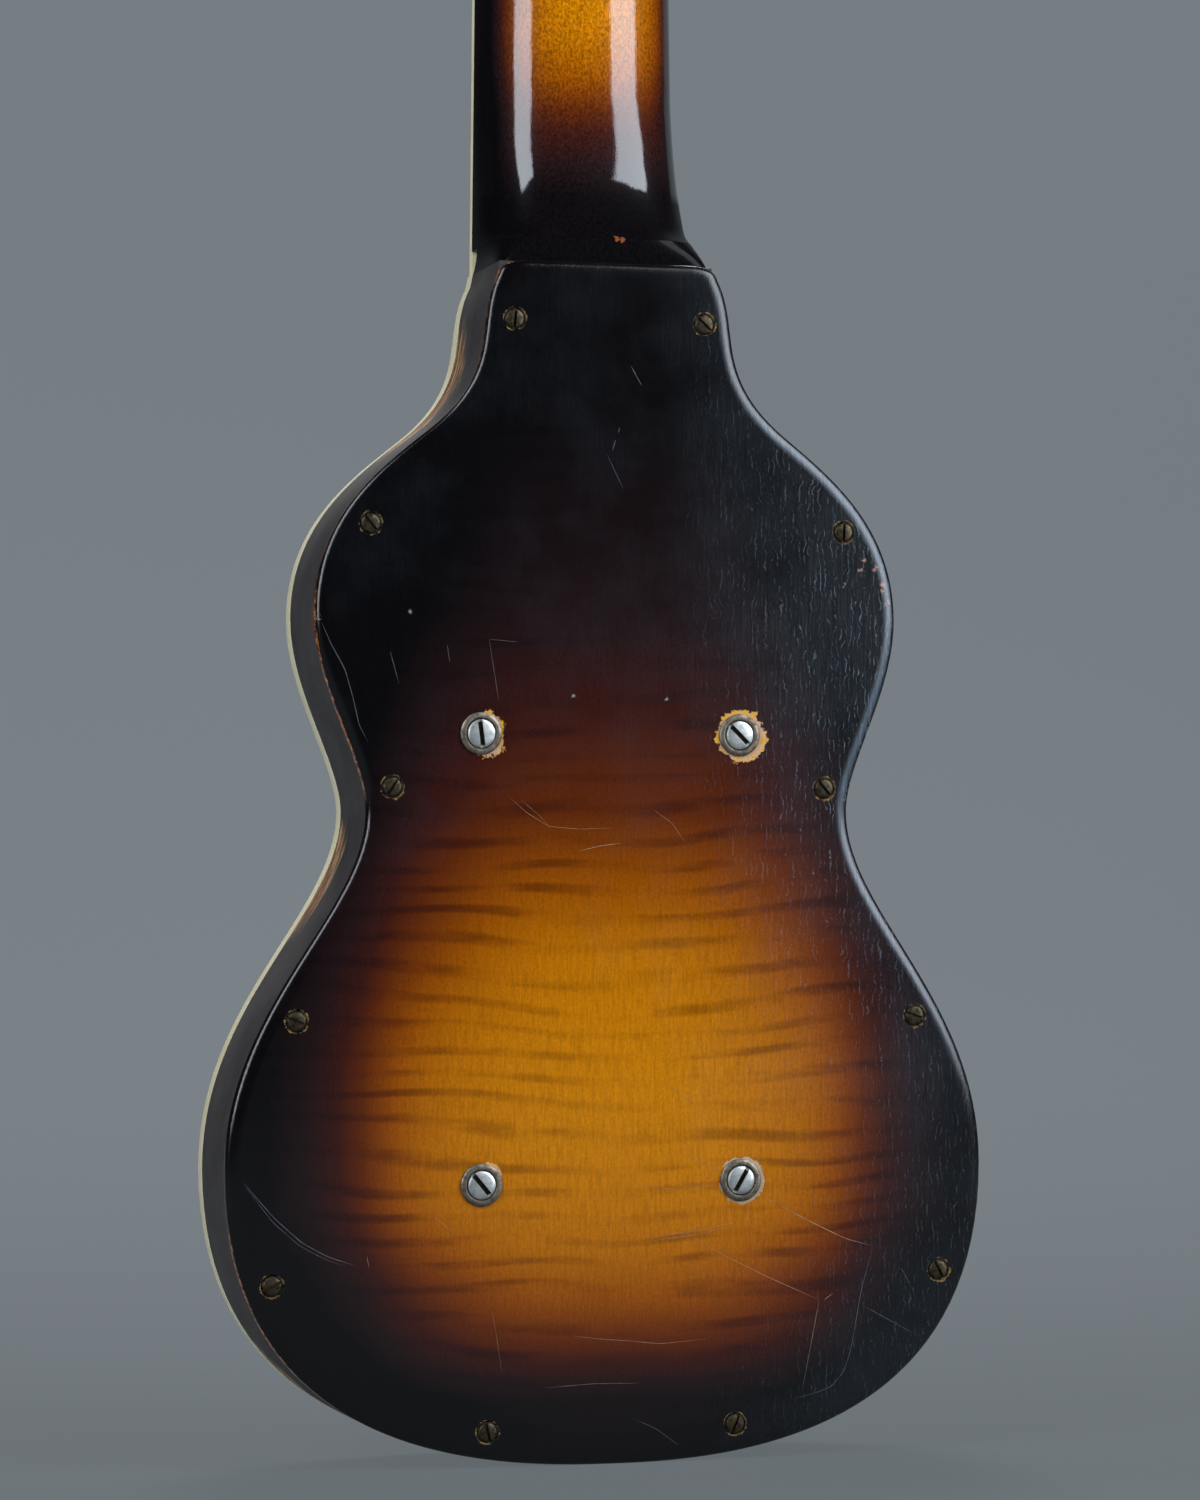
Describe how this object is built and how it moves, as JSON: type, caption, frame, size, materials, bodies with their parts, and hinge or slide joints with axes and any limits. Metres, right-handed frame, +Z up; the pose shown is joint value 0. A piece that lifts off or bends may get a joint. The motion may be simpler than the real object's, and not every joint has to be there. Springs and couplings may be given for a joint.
{
  "type": "lap steel guitar",
  "caption": "Lap steel guitar with a waisted hollow body, a screwed back plate, a bound top, a heeled neck, a bar pickup, knobs, strings and geared tuners.",
  "frame": {"origin": "on the floor under the middle of the upright guitar, at the bottom centre of its box", "axes": "+Z up the neck from tail to headstock, +Y toward the strings, -Y toward the screwed back, +X toward the bass side"},
  "size_m": [0.2416, 0.063, 0.835],
  "materials": {
    "dark_lacquered_maple": "satin dark lacquer",
    "sunburst_maple": "gloss lacquer, amber fading to black",
    "bare_maple": "unfinished",
    "cream_binding": "aged cream, semi-gloss",
    "rosewood_board": "oiled dark wood",
    "plated_nickel": "nickel plate, lightly worn",
    "aged_steel": "dark patina",
    "black_plastic": "moulded black",
    "magnet_steel": "bare, dull",
    "ivory_plastic": "aged ivory",
    "string_steel": "drawn wire"
  },
  "bodies": {
    "guitar": {"body_rim": "dark_lacquered_maple", "top_board": "sunburst_maple", "back_plate": "sunburst_maple", "neck": "sunburst_maple", "inner_brace": "bare_maple", "top_binding": "cream_binding", "fingerboard_binding": "cream_binding", "fingerboard": "rosewood_board", "nut": "plated_nickel", "bridge": "plated_nickel", "tailpiece": "plated_nickel", "output_jack": "plated_nickel", "volume_pot": "plated_nickel", "tone_pot": "plated_nickel", "tuner_plate_treble": "plated_nickel", "tuner_plate_bass": "plated_nickel", "brace_screw_upper_treble": "plated_nickel", "brace_screw_upper_bass": "plated_nickel", "brace_screw_lower_treble": "plated_nickel", "brace_screw_lower_bass": "plated_nickel", "screw_ferrule_upper_treble": "aged_steel", "screw_ferrule_upper_bass": "aged_steel", "screw_ferrule_lower_treble": "aged_steel", "screw_ferrule_lower_bass": "aged_steel", "back_screw_tail_treble": "aged_steel", "back_screw_tail_bass": "aged_steel", "back_screw_side_treble": "aged_steel", "back_screw_side_bass": "aged_steel", "back_screw_hip_treble": "aged_steel", "back_screw_hip_bass": "aged_steel", "back_screw_waist_treble": "aged_steel", "back_screw_waist_bass": "aged_steel", "back_screw_shoulder_treble": "aged_steel", "back_screw_shoulder_bass": "aged_steel", "back_screw_neck_treble": "aged_steel", "back_screw_neck_bass": "aged_steel", "pickup_cover": "black_plastic", "pickup_coil": "black_plastic", "pickup_blade": "magnet_steel", "pickup_magnet": "magnet_steel", "string_1": "string_steel", "string_2": "string_steel", "string_3": "string_steel", "string_4": "string_steel", "string_5": "string_steel", "string_6": "string_steel"},
    "volume_knob": {"volume_knob": "black_plastic"},
    "tone_knob": {"tone_knob": "black_plastic"},
    "tuner_button_1": {"tuner_button_1": "ivory_plastic"},
    "tuner_post_1": {"tuner_post_1": "plated_nickel"},
    "tuner_button_2": {"tuner_button_2": "ivory_plastic"},
    "tuner_post_2": {"tuner_post_2": "plated_nickel"},
    "tuner_button_3": {"tuner_button_3": "ivory_plastic"},
    "tuner_post_3": {"tuner_post_3": "plated_nickel"},
    "tuner_button_4": {"tuner_button_4": "ivory_plastic"},
    "tuner_post_4": {"tuner_post_4": "plated_nickel"},
    "tuner_button_5": {"tuner_button_5": "ivory_plastic"},
    "tuner_post_5": {"tuner_post_5": "plated_nickel"},
    "tuner_button_6": {"tuner_button_6": "ivory_plastic"},
    "tuner_post_6": {"tuner_post_6": "plated_nickel"}
  },
  "joints": [
    {"name": "volume_knob_turn", "type": "hinge", "parent": "guitar", "child": "volume_knob", "pos_m": [-0.08832, 0.01553, 0.10421], "axis": [0, 1, 0], "range_deg": [-150, 150]},
    {"name": "tone_knob_turn", "type": "hinge", "parent": "guitar", "child": "tone_knob", "pos_m": [-0.08561, 0.01553, 0.06535], "axis": [0, 1, 0], "range_deg": [-150, 150]},
    {"name": "tuner_button_1_turn", "type": "hinge", "parent": "guitar", "child": "tuner_button_1", "pos_m": [-0.024, -0.00927, 0.7102], "axis": [1, 0, 0], "continuous": true},
    {"name": "tuner_post_1_turn", "type": "hinge", "parent": "guitar", "child": "tuner_post_1", "pos_m": [-0.024, 0.00353, 0.702], "axis": [0, 1, 0], "continuous": true},
    {"name": "tuner_button_2_turn", "type": "hinge", "parent": "guitar", "child": "tuner_button_2", "pos_m": [-0.024, -0.00927, 0.7512], "axis": [1, 0, 0], "continuous": true},
    {"name": "tuner_post_2_turn", "type": "hinge", "parent": "guitar", "child": "tuner_post_2", "pos_m": [-0.024, 0.00353, 0.743], "axis": [0, 1, 0], "continuous": true},
    {"name": "tuner_button_3_turn", "type": "hinge", "parent": "guitar", "child": "tuner_button_3", "pos_m": [-0.024, -0.00927, 0.7922], "axis": [1, 0, 0], "continuous": true},
    {"name": "tuner_post_3_turn", "type": "hinge", "parent": "guitar", "child": "tuner_post_3", "pos_m": [-0.024, 0.00353, 0.784], "axis": [0, 1, 0], "continuous": true},
    {"name": "tuner_button_4_turn", "type": "hinge", "parent": "guitar", "child": "tuner_button_4", "pos_m": [0.024, -0.00927, 0.7922], "axis": [1, 0, 0], "continuous": true},
    {"name": "tuner_post_4_turn", "type": "hinge", "parent": "guitar", "child": "tuner_post_4", "pos_m": [0.024, 0.00353, 0.784], "axis": [0, 1, 0], "continuous": true},
    {"name": "tuner_button_5_turn", "type": "hinge", "parent": "guitar", "child": "tuner_button_5", "pos_m": [0.024, -0.00927, 0.7512], "axis": [1, 0, 0], "continuous": true},
    {"name": "tuner_post_5_turn", "type": "hinge", "parent": "guitar", "child": "tuner_post_5", "pos_m": [0.024, 0.00353, 0.743], "axis": [0, 1, 0], "continuous": true},
    {"name": "tuner_button_6_turn", "type": "hinge", "parent": "guitar", "child": "tuner_button_6", "pos_m": [0.024, -0.00927, 0.7102], "axis": [1, 0, 0], "continuous": true},
    {"name": "tuner_post_6_turn", "type": "hinge", "parent": "guitar", "child": "tuner_post_6", "pos_m": [0.024, 0.00353, 0.702], "axis": [0, 1, 0], "continuous": true}
  ],
  "couplings": [
    {"joint": "tuner_post_1_turn", "follows": "tuner_button_1_turn", "ratio": -0.083333},
    {"joint": "tuner_post_2_turn", "follows": "tuner_button_2_turn", "ratio": -0.083333},
    {"joint": "tuner_post_3_turn", "follows": "tuner_button_3_turn", "ratio": -0.083333},
    {"joint": "tuner_post_4_turn", "follows": "tuner_button_4_turn", "ratio": -0.083333},
    {"joint": "tuner_post_5_turn", "follows": "tuner_button_5_turn", "ratio": -0.083333},
    {"joint": "tuner_post_6_turn", "follows": "tuner_button_6_turn", "ratio": -0.083333}
  ]
}
